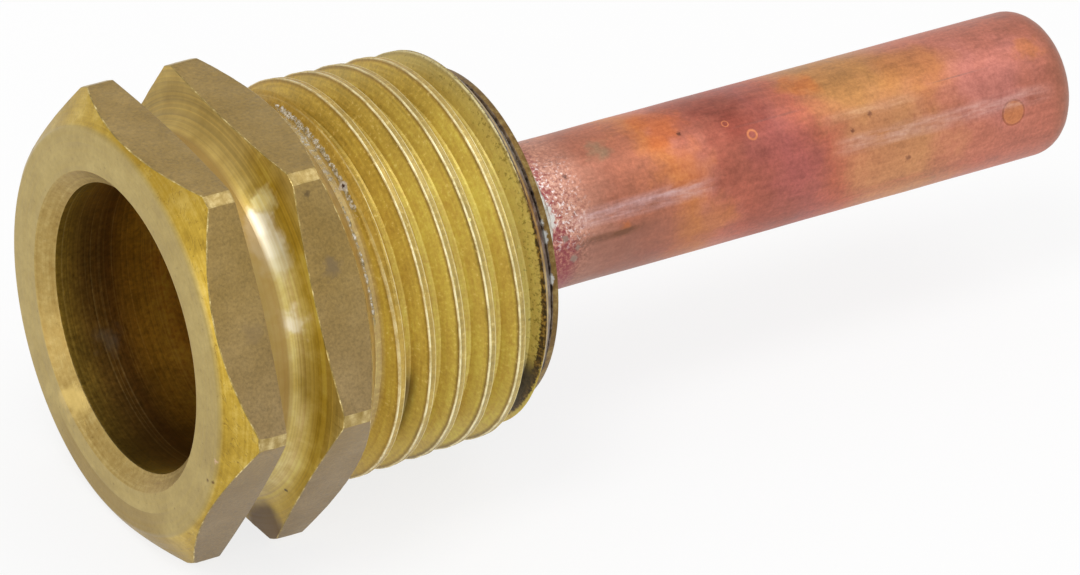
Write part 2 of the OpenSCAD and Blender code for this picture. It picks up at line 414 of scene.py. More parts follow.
def scorched(f, base):
    """Adds flux burnt on beside the brazed end: olive specks, a beaded black line, a sooty patch."""
    grit = f.add("TexNoise", f.mm, Scale=4.5, Detail=5.0, Roughness=0.7)
    olive = f.add("MapRange", f.x, 9.4, 10.4, 0.0, 0.45, interpolation_type="SMOOTHSTEP")
    before = f.add("Math", f.x, 10.75, operation="LESS_THAN")
    base = f.add(
        "Mix", f.add("Math", olive, before, operation="MULTIPLY"), base, colour("#b6a868"),
        data_type="RGBA",
    )
    density = f.add("MapRange", f.x, 9.6, 10.6, 0.7, 0.5)
    specks = f.add("MapRange", f.add("Math", grit, density, operation="SUBTRACT"), 0.0, 0.1, 0.0, 0.7)
    base = f.add(
        "Mix", f.add("Math", specks, before, operation="MULTIPLY"), base, colour("#6e5e18"),
        data_type="RGBA",
    )
    beads = f.add("ValToRGB", f.add("TexNoise", f.mm, Scale=5.0, Detail=2.0), stops=[
        (0.4, "#34260e"), (0.54, "#664c1c"), (0.64, "#947634")])
    wander = f.add("Math", f.x, f.add("Math", grit, 0.2, operation="MULTIPLY"), operation="ADD")
    base = f.add("Mix", f.near(wander, 10.87, 0.07, 0.05), base, beads, data_type="RGBA")
    soot = f.add("ValToRGB", grit, stops=[(0.3, "#3e362a"), (0.7, "#665a44")])
    patch = f.add(
        "Math", f.near(f.turn, 0.325, 0.02, 0.03), f.near(wander, 10.45, 0.3, 0.3), operation="MULTIPLY",
    )
    return f.add("Mix", patch, base, soot, data_type="RGBA")


def chalky(f, base):
    """Adds chalky residue: crumbs packed where the thread starts, smears before, flakes after."""
    crumbs = f.add("TexNoise", f.mm, Scale=4.0, Detail=5.0, Roughness=0.75)
    line = f.add(
        "Math", f.near(f.x, 1.5, 0.03, 0.11), f.near(f.turn, 0.035, 0.06, 0.03), operation="MULTIPLY",
    )
    streak = f.add(
        "Math", f.near(f.x, 1.1, 0.03, 0.12), f.near(f.turn, 0.145, 0.035, 0.05), operation="MULTIPLY",
    )
    smear = f.add(
        "Math", f.near(f.x, 1.2, 0.12, 0.2), f.near(f.turn, 0.02, 0.04, 0.06), operation="MULTIPLY",
    )
    packed = f.add("Math", line, streak, operation="MAXIMUM")
    packed = f.add("Math", packed, f.add("Math", smear, 0.75, operation="MULTIPLY"), operation="MAXIMUM")
    flakes = f.add("MapRange", f.x, 1.7, 5.0, 0.0, 0.12)
    limit = f.add("Math", f.add("Mix", packed, 0.69, 0.42, data_type="FLOAT"), flakes, operation="ADD")
    chalk = f.add("MapRange", f.add("Math", crumbs, limit, operation="SUBTRACT"), 0.0, 0.12, 0.0, 0.85)
    pale = f.add("ValToRGB", f.add("TexNoise", f.mm, Scale=4.5, Detail=4.0), stops=[
        (0.34, "#7c7462"), (0.44, "#bcb8a8"), (0.56, "#eae9e6")])
    base = f.add("Mix", chalk, base, pale, data_type="RGBA")
    # A crumb with a dark pit in it.
    base = f.mark(base, 1.5, 29, 9.75, 0.2, 0.12, "#cfc8c2")
    return f.mark(base, 1.5, 29, 9.75, 0.06, 0.08, "#4a2c20"), chalk


def turned_brass_cone():
    """The bevel behind the head, turned bright and then smeared with residue at its foot."""
    f = Finish("turned_brass_cone", 0.9)
    rings = f.turning(4.0, 0.1)
    cloud = f.add("TexNoise", f.mm, Scale=0.6, Detail=7.0, Roughness=0.7)
    share = f.add("Mix", 0.4, cloud, rings, data_type="FLOAT")
    base = f.add("ValToRGB", share, stops=[(0.32, "#b4995a"), (0.5, "#d2ba82"), (0.68, "#ecdcac")])
    base, chalk = chalky(f, base)
    return f.done(
        base, f.add("MapRange", rings, 0.3, 0.7, 0.26, 0.42), f.add("Math", rings, chalk, operation="ADD"),
        0.015,
    )


def die_cut_brass_thread():
    """Pipe thread cut with a die: clean yellow brass, satin flanks, thin bright burrs on the crests."""
    f = Finish("die_cut_brass_thread", 0.35)
    pitches = f.add("Math", f.add("Math", f.x, CREST_X, operation="SUBTRACT"), PITCH, operation="DIVIDE")
    pitches = f.add("Math", f.add("Math", pitches, f.turn, operation="SUBTRACT"), 0.5, operation="ADD")
    across = f.add("Math", pitches, operation="FRACT")
    # Colours across one pitch; the dark line just before each crest is a painted shadow under its burr.
    base = f.add("ValToRGB", across, stops=[
        (0.0, "#d6c05e"), (1.0, "#d6c05e"), (0.2, "#d6be5c"), (0.34, "#cfb654"), (0.38, "#8c7034"),
        (0.405, "#c8b46a"),
        (0.5, "#ae9650"), (0.59, "#c4ae66"), (0.61, "#b0964a"), (0.66, "#d2b95e"), (0.8, "#d6c060"),
    ])
    # The first turns are richer and browner, most of all down in the roots on top.
    first = f.add("MapRange", f.x, 2.0, 6.0, 0.5, 0.0)
    base = f.add("Mix", first, base, colour("#c09a2c"), data_type="RGBA")
    top = f.add("MapRange", f.turn, 0.0, 0.1, 0.4, 0.0)
    base = f.add("Mix", top, base, colour("#9e761a"), data_type="RGBA")
    from_crest = f.add("Math", f.add("Math", across, 0.5, operation="SUBTRACT"), operation="ABSOLUTE")
    root = f.add("MapRange", from_crest, 0.3, 0.5, 0.0, 0.6)
    root = f.add("Math", root, f.add("MapRange", f.turn, 0.0, 0.13, 1.0, 0.0), operation="MULTIPLY")
    base = f.add("Mix", root, base, colour("#8e7010"), data_type="RGBA")
    # Before the thread starts there is a short neck, turned and left pale.
    neck = f.add("MapRange", f.x, 1.5, 1.36, 0.0, 0.8)
    base = f.add("Mix", neck, base, colour("#c4ad78"), data_type="RGBA")
    cloud = f.add("TexNoise", f.mm, Scale=0.4, Detail=6.0, Roughness=0.65)
    base = f.add("Mix", 0.4, base, cloud, data_type="RGBA", blend_type="OVERLAY")
    rings = f.turning(6.0, 0.12)
    base = f.add("Mix", 0.3, base, rings, data_type="RGBA", blend_type="OVERLAY")
    grain = f.add("TexNoise", f.mm, Scale=4.0, Detail=4.0, Roughness=0.7)
    base = f.add("Mix", 0.55, base, grain, data_type="RGBA", blend_type="OVERLAY")
    glints = f.add(
        "Math", f.add("MapRange", grain, 0.6, 0.66, 0.0, 0.5), f.near(f.turn, 0.14, 0.1, 0.1),
        operation="MULTIPLY",
    )
    base = f.add("Mix", glints, base, colour("#ecd890"), data_type="RGBA")
    # Burrs along both sides of each crest, painted bright as painted highlights, broken here and there, and
    # brightest on the side where the lamps catch them.
    rear_lip = f.add("Math", f.near(across, 0.582, 0.006, 0.008), 0.5, operation="MULTIPLY")
    lips = f.add("Math", f.near(across, 0.414, 0.021, 0.014), rear_lip, operation="MAXIMUM")
    broken = f.add(
        "MapRange", f.add("TexNoise", f.mm, Scale=1.1, Detail=5.0, Roughness=0.75), 0.38, 0.58, 0.25, 1.0,
    )
    highlight_side = f.add("MapRange", f.near(f.turn, 0.2, 0.12, 0.14), 0.0, 1.0, 0.4, 1.0)
    lips = f.add("Math", f.add("Math", lips, broken, operation="MULTIPLY"), highlight_side, operation="MULTIPLY")
    lips = f.add("Math", lips, f.add("MapRange", f.x, 1.6, 1.85, 0.0, 1.0), operation="MULTIPLY")
    base = f.add("Mix", lips, base, colour("#fff4c4"), data_type="RGBA")
    # Old cutting oil, brown in one root low on the side.
    oil = f.add(
        "Math", f.near(f.turn, 0.3, 0.025, 0.03), f.near(f.x, 3.0, 0.12, 0.35), operation="MULTIPLY",
    )
    base = f.add(
        "Mix", f.add("Math", oil, 0.8, operation="MULTIPLY"), base, colour("#5e4414"), data_type="RGBA",
    )
    base, chalk = chalky(f, base)
    base = f.mark(base, 7.16, 49.5, 10.36, 0.08, 0.06, "#fff2a8")
    base = scorched(f, base)
    crest = f.near(across, 0.5, 0.08, 0.02)
    gloss = f.add("MapRange", crest, 0.0, 1.0, f.add("MapRange", cloud, 0.3, 0.7, 0.36, 0.48), 0.24)
    height = f.add("Math", f.add("Mix", 0.4, rings, grain, data_type="FLOAT"), chalk, operation="ADD")
    return f.done(base, gloss, height, 0.03)


def turned_brass_end():
    """The small bevel at the brazed end: gold brass, then violet brown where the torch burnt flux on it."""
    f = Finish("torch_darkened_brass_end", 0.8)
    rings = f.turning(5.0, 0.3)
    cloud = f.add("TexNoise", f.mm, Scale=1.2, Detail=6.0, Roughness=0.75)
    share = f.add("Mix", 0.3, cloud, rings, data_type="FLOAT")
    base = f.add("ValToRGB", share, stops=[(0.32, "#8e6f2c"), (0.5, "#b8994c"), (0.66, "#e2cc8c")])
    burnt = f.add("ValToRGB", cloud, stops=[(0.36, "#3a2c20"), (0.5, "#6c5a4e"), (0.66, "#aca094")])
    wander = f.add("Math", f.x, f.add("Math", cloud, 0.24, operation="MULTIPLY"), operation="ADD")
    base = f.add("Mix", f.add("MapRange", wander, 11.18, 11.32, 0.0, 1.0), base, burnt, data_type="RGBA")
    gloss = f.add("MapRange", cloud, 0.3, 0.7, 0.3, 0.5)
    return f.done(scorched(f, base), gloss, share, 0.03)


def bored_brass():
    """The socket's wall: bored and left, browned in patches, with fine bright rings where the tool rubbed."""
    f = Finish("bored_brass", 0.7)
    rings = f.turning(9.0, 0.03)
    cloud = f.add("TexNoise", f.mm, Scale=0.3, Detail=5.0, Roughness=0.6)
    tints = [
        (-8, "#ae9038"), (-6.4, "#8c6a2c"), (-5, "#74501e"), (-3.5, "#ae8028"), (-2, "#d4a238"),
        (0, "#c49230"),
    ]
    along = f.add("MapRange", f.x, -8.0, 0.0, 0.0, 1.0)
    base = f.add("ValToRGB", along, stops=[((x + 8) / 8, tint) for x, tint in tints])
    base = f.add("Mix", 0.8, base, cloud, data_type="RGBA", blend_type="OVERLAY")
    base = f.add("Mix", 0.6, base, rings, data_type="RGBA", blend_type="OVERLAY")
    lines = f.add(
        "Math", f.add("MapRange", rings, 0.58, 0.66, 0.0, 0.6),
        f.add("MapRange", f.x, -7.0, -4.5, 1.0, 0.2), operation="MULTIPLY",
    )
    base = f.add("Mix", lines, base, colour("#d0bc80"), data_type="RGBA")
    grain = f.add("TexNoise", f.mm, Scale=5.0, Detail=3.0)
    base = f.add("Mix", 0.6, base, grain, data_type="RGBA", blend_type="OVERLAY")
    shade_below = f.add("MapRange", f.up, -0.8, -1.0, 0.0, 0.6)
    base = f.add("Mix", shade_below, base, colour("#2c1c08"), data_type="RGBA")
    # A painted highlight: a faint grey glint along the wall.
    base = f.mark(base, -5.6, -129, SOCKET_R, 0.1, 0.9, "#9c9480", 0.3)
    gloss = f.add("MapRange", grain, 0.3, 0.7, 0.3, 0.45)
    return f.done(base, gloss, rings, 0.012)


def brazed_disc():
    """The end disc: sheet brass, tan with oxide at the back of its rim, dark with flux in front."""
    f = Finish("torch_darkened_brass_disc", 0.8)
    cloud = f.add("TexNoise", f.mm, Scale=1.4, Detail=6.0, Roughness=0.75)
    base = f.add("ValToRGB", cloud, stops=[(0.3, "#5a411a"), (0.5, "#7e6232"), (0.7, "#aa945c")])
    flux = f.add(
        "ValToRGB", f.add("TexNoise", f.mm, Scale=3.0, Detail=4.0),
        stops=[(0.35, "#241a12"), (0.5, "#584a40"), (0.7, "#7c6c5c")],
    )
    wander = f.add("Math", f.x, f.add("Math", cloud, 0.2, operation="MULTIPLY"), operation="ADD")
    base = f.add("Mix", f.near(wander, 11.8, 0.08, 0.06), base, flux, data_type="RGBA")
    for angle, size in ((56, 0.03), (59.8, 0.1), (62, 0.06), (74.6, 0.1), (76, 0.04)):
        base = f.mark(base, 11.76, angle, 9.1, size, 0.16, "#b9b8b2")
    gloss = f.add("MapRange", cloud, 0.3, 0.7, 0.32, 0.52)
    return f.done(base, gloss, cloud, 0.03)


def heat_tinted_copper():
    """Copper tube after brazing: pink and orange with oxide, maroon by the joint, gold half way."""
    f = Finish("heat_tinted_copper", 0.75)
    swirl = f.add("TexNoise", f.mm, Scale=0.35, Detail=5.0, Roughness=0.6)
    lean = f.add("Math", f.turn, -6.5, operation="MULTIPLY")
    shift = f.add("Math", f.add("MapRange", swirl, 0.3, 0.7, -1.2, 1.2), lean, operation="ADD")
    start_x = 14
    along = f.add("MapRange", f.add("Math", f.x, shift, operation="ADD"), start_x, TIP_X, 0.0, 1.0)
    tints = [
        (16, "#c08670"), (18.5, "#b06f58"), (20.5, "#bb7458"), (22.2, "#cf8350"), (23.4, "#c67c66"),
        (25.2, "#b06451"), (27, "#a8604f"), (29, "#b0665a"), (31, "#bc6c54"), (33.5, "#c98a60"),
        (36.5, "#c58a5e"), (39.5, "#c47a62"), (43, "#be7460"), (46, "#b46e5a"),
    ]
    base = f.add("ValToRGB", along, stops=[((x - start_x) / (TIP_X - start_x), tint) for x, tint in tints])
    for x, angle, radius, soft, tint, strength in (
        (27.4, 18, 0.3, 2.2, "#93483a", 0.85), (34.5, 2, 0.8, 3.2, "#b98548", 0.7),
        (32.4, 4, 0.2, 1.2, "#cf7a3c", 0.7),
        (23.2, 8, 0.5, 1.6, "#cf6f36", 0.7), (23.6, 52, 0.4, 1.5, "#d8824e", 0.6),
        (24.6, 98, 0.5, 1.6, "#c9804a", 0.6),
        (39, 15, 0.6, 2.6, "#c07f42", 0.6), (19.3, 15, 0.1, 0.9, "#948468", 0.6),
        (19.5, 81, 0.15, 0.3, "#d07a44", 0.8),
        (30.2, 62, 0.5, 2.4, "#b25e5c", 0.4), (43, 45, 0.8, 2.8, "#c88078", 0.5),
        (46.1, 28, 0.3, 0.8, "#c2783e", 0.5),
        (35.3, 46, 0.05, 0.16, "#7c4a38", 0.8), (34, 55, 0.04, 0.14, "#7c4a38", 0.8),
        (24.1, 21, 0.06, 0.12, "#5a3428", 0.8),
        (37.3, 88, 0.06, 0.2, "#80503c", 0.7), (16.7, 30, 0.08, 0.1, "#5a2c22", 0.9),
        # A painted highlight: a white glint in the pit.
        (16.62, 27, 0.03, 0.06, "#fff4ec", 0.9),
    ):
        base = f.mark(base, x, angle, TUBE_R, radius, soft, tint, strength)
    # Flux drops: two thin rings and a round scab with a darker rim.
    base = f.mark(base, 44.1, 75, TUBE_R, 0.58, 0.15, "#c98052", 0.9)
    for x, angle, radius, wide, tint in (
        (26.9, 23, 0.18, 0.03, "#c4744e"), (28.1, 37.5, 0.26, 0.06, "#d08058"),
        (44.1, 75, 0.7, 0.05, "#a9644a"),
    ):
        turn_at = math.radians(angle)
        away = f.add(
            "VectorMath", f.mm, (x, -TUBE_R * math.sin(turn_at), TUBE_R * math.cos(turn_at)),
            operation="DISTANCE",
        )
        base = f.add("Mix", f.near(away, radius, wide / 2, wide), base, colour(tint), data_type="RGBA")
    # Lengthways lines: a dull one from handling by the joint, then pale ones that are painted sheen, a
    # painted reflection along the tube, and grey ones.
    scuffs_and_sheen = f.add(
        "TexNoise", f.add("VectorMath", f.mm, (0.5, 3, 3), operation="MULTIPLY"), Scale=1.0, Detail=5.0,
        Roughness=0.6,
    )
    for start, end, turn_at, wide, tint, strength in (
        (13.6, 21.0, 0.233, 0.012, "#70482c", 1.0), (27.4, 31.6, 0.079, 0.003, "#80605a", 0.6),
        (39.5, 43.2, 0.099, 0.002, "#8a6a62", 0.7),
        (16.0, 25.0, 0.183, 0.022, "#dcc0c4", 0.5), (33.0, 46.5, 0.182, 0.022, "#dcb4ac", 0.45),
        (32.5, 38.5, 0.118, 0.014, "#dcb090", 0.4),
        (20.0, 44.0, 0.31, 0.02, "#a85a4a", 0.4),
    ):
        stretch = f.near(f.x, (start + end) / 2, (end - start) / 2 - 1.5, 2.2)
        line = f.add("Math", f.near(f.turn, turn_at, wide / 4, wide), stretch, operation="MULTIPLY")
        broken = f.add("MapRange", scuffs_and_sheen, 0.3, 0.65, 0.0, strength)
        base = f.add(
            "Mix", f.add("Math", line, broken, operation="MULTIPLY"), base, colour(tint), data_type="RGBA",
        )
    base = f.add("Mix", 0.3, base, scuffs_and_sheen, data_type="RGBA", blend_type="OVERLAY")
    blotch = f.add("TexNoise", f.mm, Scale=0.9, Detail=6.0, Roughness=0.7)
    base = f.add("Mix", 0.45, base, blotch, data_type="RGBA", blend_type="OVERLAY")
    grain = f.add("TexNoise", f.mm, Scale=5.0, Detail=4.0, Roughness=0.7)
    base = f.add("Mix", 0.45, base, grain, data_type="RGBA", blend_type="OVERLAY")
    # The lower side by the joint is painted greyer and darker: painted shade.
    lower_side_shade = f.add(
        "Math", f.add("MapRange", f.x, 20.0, 27.0, 0.5, 0.0), f.near(f.turn, 0.34, 0.09, 0.06),
        operation="MULTIPLY",
    )
    base = f.add("Mix", lower_side_shade, base, colour("#8a6054"), data_type="RGBA")
    # Beside the joint the wall is pitted, painted lighter and sparkling with painted glints on its lit side,
    # with maroon oxide and grey beads against the braze.
    close = f.add("MapRange", f.x, 15.4, 18.0, 1.0, 0.0, interpolation_type="SMOOTHSTEP")
    lit = f.add("Math", close, f.near(f.turn, 0.13, 0.05, 0.08), operation="MULTIPLY")
    base = f.add(
        "Mix", f.add("Math", lit, 0.45, operation="MULTIPLY"), base, colour("#e8b2a2"), data_type="RGBA",
    )
    pits = f.add("TexNoise", f.mm, Scale=5.0, Detail=3.0, Roughness=0.7)
    pitted = f.add("MapRange", f.near(f.turn, 0.17, 0.07, 0.08), 0.0, 1.0, 0.3, 0.85)
    pitted = f.add("Math", pitted, close, operation="MULTIPLY")
    base = f.add(
        "Mix", pitted, base, f.add("MapRange", pits, 0.32, 0.68), data_type="RGBA", blend_type="OVERLAY",
    )
    edge = f.add("Mix", f.add("MapRange", f.turn, 0.17, 0.23, 0.0, 1.0), 15.6, 16.6, data_type="FLOAT")
    maroon = f.add("MapRange", f.add("Math", f.x, edge, operation="SUBTRACT"), -0.5, 0.2, 0.8, 0.0)
    maroon = f.add("Math", maroon, f.add("MapRange", pits, 0.4, 0.6, 1.0, 0.4), operation="MULTIPLY")
    base = f.add("Mix", maroon, base, colour("#9c4450"), data_type="RGBA")
    glitter = f.add("MapRange", f.add("TexNoise", f.mm, Scale=6.0, Detail=2.0), 0.57, 0.65, 0.0, 0.9)
    base = f.add(
        "Mix", f.add("Math", glitter, lit, operation="MULTIPLY"), base, colour("#fff0ec"), data_type="RGBA",
    )
    # Braze that crept on along the tube, then the beads.
    for angle, size in ((47, 0.02), (52, 0.12), (58, 0.18), (64, 0.1)):
        base = f.mark(base, 15.08, angle, TUBE_R, size, 0.14, "#e6e2da")
    for x, angle, radius in ((15.75, 76, 0.1), (16.3, 95, 0.16), (16.5, 86, 0.06)):
        base = f.mark(base, x, angle, TUBE_R, radius, 0.16, "#9a8678", 0.8)
    base = f.add(
        "Mix", f.add("MapRange", f.x, 46.6, 48.3, 0.0, 0.6), base, colour("#8c6248"), data_type="RGBA",
    )
    gloss = f.add("MapRange", blotch, 0.3, 0.7, 0.38, 0.52)
    height = f.add("Math", grain, f.add("MapRange", close, 0.0, 1.0, 0.5, 2.5), operation="MULTIPLY")
    return f.done(base, gloss, height, 0.02)


def silver_braze(name):
    """Silver brazing alloy as it froze: pale grey where clean, browned with flux where it is thin."""
    f = Finish(name, 0.9)
    cloud = f.add("TexNoise", f.mm, Scale=1.1, Detail=5.0, Roughness=0.7)
    base = f.add("ValToRGB", cloud, stops=[(0.35, "#a59c8c"), (0.5, "#d6d2c6"), (0.65, "#f0eee6")])
    base = f.add(
        "Mix", f.near(f.turn, 0.12, 0.06, 0.08),
        f.add("ValToRGB", cloud, stops=[(0.35, "#705248"), (0.5, "#8c766a"), (0.65, "#b0a498")]), base,
        data_type="RGBA",
    )
    gloss = f.add("MapRange", cloud, 0.3, 0.7, 0.22, 0.4)
    return f.done(base, gloss, cloud, 0.05)


SKIN, LAND, FACE, EDGE, WALL, RAMP, CONE, THREAD, END, BORE = range(10)
spud_finishes = [
    drawn_brass_skin(),
    turned_brass(
        "turned_brass_corner", [(0.36, "#988048"), (0.5, "#b49c64"), (0.64, "#d8c48c")], 2.4, 3.0, 0.025,
    ),
    faced_brass(),
    burred_brass_edge(),
    turned_brass("tarnished_brass_wall", [(0.3, "#86701f"), (0.7, "#a89038")], 0.6, 5.0, 0.01, 0.6),
    burnished_brass_hollow(),
    turned_brass_cone(),
    die_cut_brass_thread(),
    turned_brass_end(),
    bored_brass(),
]


# ---------------------------------------------------------------- head of the spud

SECTOR = 60
HEAD_END_X = 2.5  # inside the thread, which covers it
LAND_AT = math.degrees(math.acos(FLAT_R / CORNER_R))
# Angles of the columns in half a sector, from a flat's middle to its corner: close together at the land.
HALF = [k * 27.9 / 31 for k in range(32)] + [LAND_AT - 0.06, LAND_AT + 0.06, 29.1, SECTOR / 2]
SECTOR_ANGLES = HALF[:-1] + [SECTOR - a for a in reversed(HALF[1:])]
HEAD_COLUMNS = 6 * len(SECTOR_ANGLES)


def head_angle(j):
    sector, k = divmod(j % HEAD_COLUMNS, len(SECTOR_ANGLES))
    return math.radians(sector * SECTOR + SECTOR_ANGLES[k])


def hex_r(angle):
    folded = (math.degrees(angle) + SECTOR / 2) % SECTOR - SECTOR / 2
    return min(CORNER_R, FLAT_R / math.cos(math.radians(folded)))


def ramp_point(t):
    """A point on the hollow between the groove's floor and the rear flange, with t from 0 to 1."""
    low = -math.asin((RAMP_C[1] - FLOOR_R) / RAMP_R)
    high = -math.asin((RAMP_C[1] - FLAT_R + 0.12) / RAMP_R)
    a = low + (high - low) * t
    return RAMP_C[0] + RAMP_R * math.cos(a), RAMP_C[1] + RAMP_R * math.sin(a)


def head_section(angle):
    """The head's section at an angle round the axis, the same number of points at every angle."""
    out = hex_r(angle)
    front_edge = FRONT_X + (out - FACE_R) * FRONT_SLOPE
    front_wall = WALL_FRONT_X - (out - FLAT_R) * WALL_LEAN
    rear_wall = WALL_REAR_X + (out - FLAT_R) * WALL_LEAN
    rear_edge = -(out - FLAT_R) * REAR_SLOPE
    ramp = [(*ramp_point(k / 10), 0, 0, RAMP) for k in range(1, 10)]
    bevel = [
        (FRONT_X + (front_edge - FRONT_X) * t, FACE_R + (out - FACE_R) * t, 0, 0, FACE)
        for t in (0.35, 0.65)
    ]
    front_flat = [
        (front_edge + (front_wall - front_edge) * t, out, 0, 0, SKIN)
        for t in (0.1, 0.2, 0.3, 0.5, 0.75)
    ]
    points = rounded([
        (FRONT_X, 0, 0, 0, FACE),
        (FRONT_X, 7, 0, 0, FACE),
        (FRONT_X, FACE_R, 0.3, 4, FACE),
        *bevel,
        (front_edge, out, 0.08, 2, FACE, EDGE),
        *front_flat,
        (front_wall, out, 0.05, 2, SKIN),
        (WALL_FRONT_X + (FLAT_R - FLOOR_R) * WALL_LEAN, FLOOR_R, 0, 0, WALL),
        (*ramp_point(0), 0, 0, RAMP),
        *ramp,
        (*ramp_point(1), 0, 0, RAMP),
        (rear_wall, out, 0.05, 2, RAMP, EDGE),
        ((rear_wall + rear_edge) / 2, out, 0, 0, SKIN),
        (rear_edge, out, 0.06, 2, SKIN, EDGE),
        (NECK_X, NECK_R, 0, 0, CONE),
        (HEAD_END_X, NECK_R, 0, 0, THREAD),
        (HEAD_END_X, 0, 0, 0, THREAD),
    ])
    # The broken edges are nibbled unevenly.
    place_at = Vector((math.cos(angle), math.sin(angle), 0)) * 20
    along = 0.03 * noise.noise(place_at)
    nibble = 0.04 * abs(noise.noise(place_at + Vector((0, 0, 9))))
    return [(x + along, r - nibble, finish) if finish == EDGE else (x, r, finish) for x, r, finish in points]


# Knocks on the head, each at (x, angle, r), with its reach and depth; the last one is a raised burr.
KNOCKS = [
    (-7.5, 89, 12.4, 0.5, 0.14), (-8.3, 45.5, 11.4, 0.18, 0.05), (-7.0, 91, 12.5, 0.3, 0.08),
    (-8.1, 78, 11.6, 0.2, -0.04),
]


def knocked(x, r, angle):
    """Pushes in the surface where it was knocked."""
    here = Vector((x, -r * math.sin(angle), r * math.cos(angle)))
    for at_x, at_angle, at_r, reach, depth in KNOCKS:
        turn_at = math.radians(at_angle)
        away = (here - Vector((at_x, -at_r * math.sin(turn_at), at_r * math.cos(turn_at)))).length
        if away < reach:
            r -= depth * (1 - (away / reach) ** 2)
    return x, r, angle


def head_finish(i, angle):
    """The finish between two rows; the drawn skin gives way to the turned land at the corners."""
    finish = head_sections[0][i + 1][2]
    j = math.floor(angle % TURN / TURN * HEAD_COLUMNS)
    middle = math.degrees(head_angle(j) + head_angle(j + 1)) / 2 % SECTOR
    at_corner = abs(middle - SECTOR / 2) < SECTOR / 2 - LAND_AT
    return LAND if finish == SKIN and at_corner else finish


head_sections = [head_section(head_angle(j)) for j in range(HEAD_COLUMNS)]
bm = ring_grid(len(head_sections[0]), HEAD_COLUMNS)
place(
    bm,
    lambda i, j: knocked(*head_sections[j][i][:2], head_angle(j)),
    HEAD_COLUMNS,
    head_finish,
)
spud = as_object(closed(bm), "turned_spud", spud_finishes)

# ---------------------------------------------------------------- thread

STEPS = 200
TURNS = 8
FIRST_CREST = CREST_X - 1.5 * PITCH
SPUN_R = 10  # radius that the section is spun at, before it takes the taper


def thread_section():
    """One pitch of the thread about its crest, as (x, r from the crests), with a lip at each side."""
    root = PITCH / 2
    return [
        (-root, -DEPTH), (-root + 0.1, -DEPTH), (-root + 0.2, -DEPTH + 0.05), (-0.55, -DEPTH + 0.35),
        (-0.35, -0.38), (-0.24, -0.15),
        (-0.2, -0.04), (-0.17, 0), (-0.12, 0), (-0.08, -0.045), (0.1, -0.045), (0.13, -0.01), (0.17, -0.01),
        (0.2, -0.05),
        (0.24, -0.15), (0.35, -0.38), (0.55, -DEPTH + 0.35), (root - 0.2, -DEPTH + 0.05),
        (root - 0.1, -DEPTH), (root, -DEPTH),
    ]


section = thread_section()
bm = bmesh.new()
line = [bm.verts.new(((FIRST_CREST + x) * MM, 0, -(SPUN_R + r) * MM)) for x, r in section]
edges = [bm.edges.new(pair) for pair in zip(line, line[1:])]
bmesh.ops.spin(bm, geom=line + edges, cent=(0, 0, 0), axis=(1, 0, 0), dvec=(PITCH * MM / STEPS, 0, 0),
               angle=TURN * TURNS, steps=STEPS * TURNS, use_merge=False, use_duplicate=False)
bmesh.ops.remove_doubles(bm, verts=bm.verts, dist=1e-7)
for face in bm.faces:
    face.material_index = THREAD
nick = Vector((9.3, -10.3 * math.sin(math.radians(84)), 10.3 * math.cos(math.radians(84))))
for v in bm.verts:
    radius = math.hypot(v.co.y, v.co.z)
    height = radius / MM - SPUN_R
    uneven = noise.noise(v.co / MM * 1.3) * 0.025 * max(0, 1 + height / 0.2)
    knock = max(0, 1 - (v.co / MM - nick).length / 0.4)
    grown = (SPUN_R + height + crest_r(v.co.x / MM) - SPUN_R + uneven + 0.05 * knock) * MM
    v.co.x -= 0.16 * knock * MM
    v.co.y *= grown / radius
    v.co.z *= grown / radius
for x, side in ((0.3, -1), (12.4, 1)):
    everything = bm.verts[:] + bm.edges[:] + bm.faces[:]
    bmesh.ops.bisect_plane(bm, geom=everything, dist=1e-8, plane_co=(x * MM, 0, 0), plane_no=(side, 0, 0),
                           clear_outer=True)
bmesh.ops.holes_fill(bm, edges=[e for e in bm.edges if e.is_boundary], sides=0)
bmesh.ops.recalc_face_normals(bm, faces=bm.faces)
thread = as_object(bm, "thread", spud_finishes)

chamfer_x = THREAD_X - (END_R - END_FACE_R)
start_x = NECK_X + 0.35
side_x = start_x + (crest_r(start_x) - NECK_R) * FLANK
blank = as_object(turned([
    (0.7, 0, THREAD), (0.7, NECK_R + 0.003, THREAD), (start_x, NECK_R + 0.003, THREAD),
    (side_x, crest_r(side_x) + 0.03, THREAD),
    (chamfer_x, crest_r(chamfer_x) + 0.03, THREAD), (THREAD_X, END_FACE_R, END), (THREAD_X, 0, END),
], SPUD_COLUMNS), "blank", spud_finishes)
combine(thread, blank, "INTERSECT")
combine(spud, thread, "UNION")

bore = as_object(turned([
    (-9.8, 0, BORE), (-9.8, SOCKET_R + 1.8, FACE), (-8, SOCKET_R, FACE), (SEAT_X, SOCKET_R, BORE),
    (SEAT_X, SEAT_R, BORE),
    (12.5, SEAT_R, BORE), (12.5, 0, BORE),
], SPUD_COLUMNS), "bore", spud_finishes)
combine(spud, bore, "DIFFERENCE")
cleared(spud)
shade(spud, 25)

# ---------------------------------------------------------------- disc, tube and braze

disc = as_object(turned([
    (SEAT_X, TUBE_R, 0), (SEAT_X, SPIGOT_R, 0), (DISC_X[0], SPIGOT_R, 0), (DISC_X[0], DISC_R - 0.06, 0),
    (DISC_X[0] + 0.06, DISC_R, 0),
    (DISC_X[1] - 0.15, DISC_R, 0), (DISC_X[1] - 0.04, DISC_R - 0.04, 0), (DISC_X[1], DISC_R - 0.15, 0),
    (DISC_X[1], TUBE_R, 0), (SEAT_X, TUBE_R, 0),
], DISC_COLUMNS), "end_plate", [brazed_disc()])
shade(disc, 30)


def dented(x, r, angle):
    """The tube's wall, never quite round or straight."""
    place_at = Vector((x / 5, math.sin(angle), math.cos(angle)))
    return x, r + (0.02 * noise.noise(place_at * 1.5) if r > TUBE_IN_R else 0), angle


